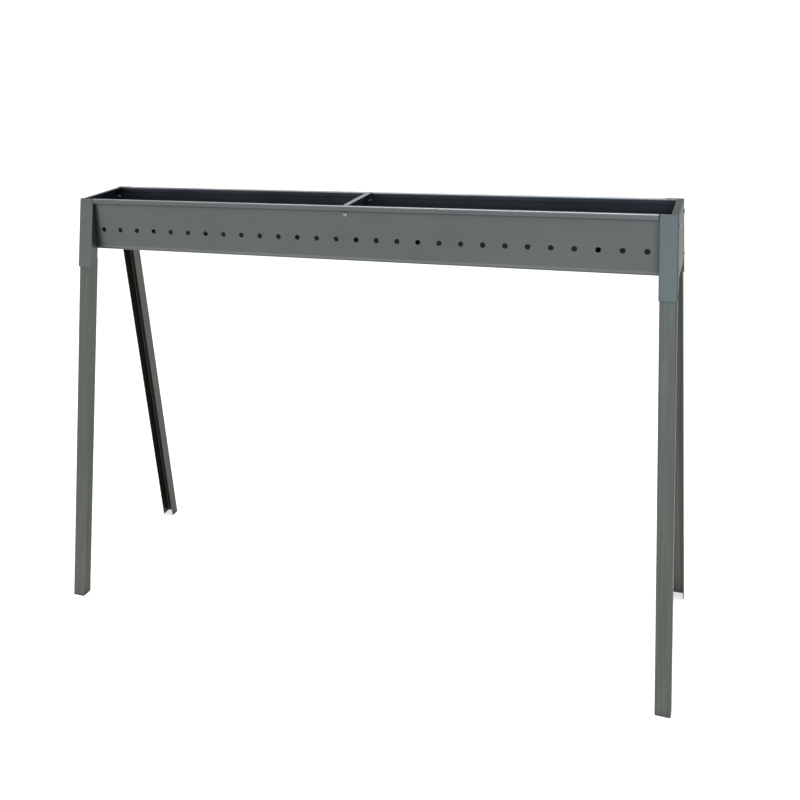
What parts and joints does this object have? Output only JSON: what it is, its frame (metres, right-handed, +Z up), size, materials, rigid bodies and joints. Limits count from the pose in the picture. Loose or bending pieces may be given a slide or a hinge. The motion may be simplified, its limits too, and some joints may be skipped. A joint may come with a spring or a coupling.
{
  "type": "charcoal trough grill",
  "caption": "Long narrow charcoal grill: a folded-sheet trough with a middle divider and a row of air holes, standing on splayed channel legs pushed into corner sleeves.",
  "frame": {"origin": "on the floor, midway between the four feet", "axes": "+X along the trough, the front (the side of the picture) faces -Y, +Z up"},
  "size_m": [1.307, 0.4288, 0.887],
  "materials": {
    "panel_paint": "satin",
    "leg_paint": "satin",
    "grate_steel": "matt, heat-darkened",
    "zinc": "bright zinc"
  },
  "bodies": {
    "trough": {"front_panel": "panel_paint", "rear_panel": "panel_paint", "end_panel_left": "panel_paint", "end_panel_right": "panel_paint", "floor_plate": "panel_paint", "divider": "panel_paint", "divider_screw_front": "zinc", "divider_screw_rear": "zinc", "divider_nut_front": "zinc", "divider_nut_rear": "zinc", "corner_screws_front_left": "zinc", "corner_nuts_front_left": "zinc", "corner_screws_front_right": "zinc", "corner_nuts_front_right": "zinc", "corner_screws_rear_left": "zinc", "corner_nuts_rear_left": "zinc", "corner_screws_rear_right": "zinc", "corner_nuts_rear_right": "zinc"},
    "grate_left": {"grate_left": "grate_steel"},
    "grate_right": {"grate_right": "grate_steel"},
    "leg_front_left": {"leg_front_left": "leg_paint"},
    "leg_front_right": {"leg_front_right": "leg_paint"},
    "leg_rear_left": {"leg_rear_left": "leg_paint"},
    "leg_rear_right": {"leg_rear_right": "leg_paint"}
  },
  "joints": [
    {"name": "leg_front_left_slide", "type": "slide", "parent": "trough", "child": "leg_front_left", "axis": [-0.0775, -0.1564, -0.9846], "range_m": [0, 0.12]},
    {"name": "leg_front_right_slide", "type": "slide", "parent": "trough", "child": "leg_front_right", "axis": [0.0775, -0.1564, -0.9846], "range_m": [0, 0.12]},
    {"name": "leg_rear_left_slide", "type": "slide", "parent": "trough", "child": "leg_rear_left", "axis": [-0.0775, 0.1564, -0.9846], "range_m": [0, 0.12]},
    {"name": "leg_rear_right_slide", "type": "slide", "parent": "trough", "child": "leg_rear_right", "axis": [0.0775, 0.1564, -0.9846], "range_m": [0, 0.12]},
    {"name": "grate_left_lift", "type": "slide", "parent": "trough", "child": "grate_left", "axis": [0, 0, 1], "range_m": [0, 0.12]},
    {"name": "grate_right_lift", "type": "slide", "parent": "trough", "child": "grate_right", "axis": [0, 0, 1], "range_m": [0, 0.12]}
  ]
}
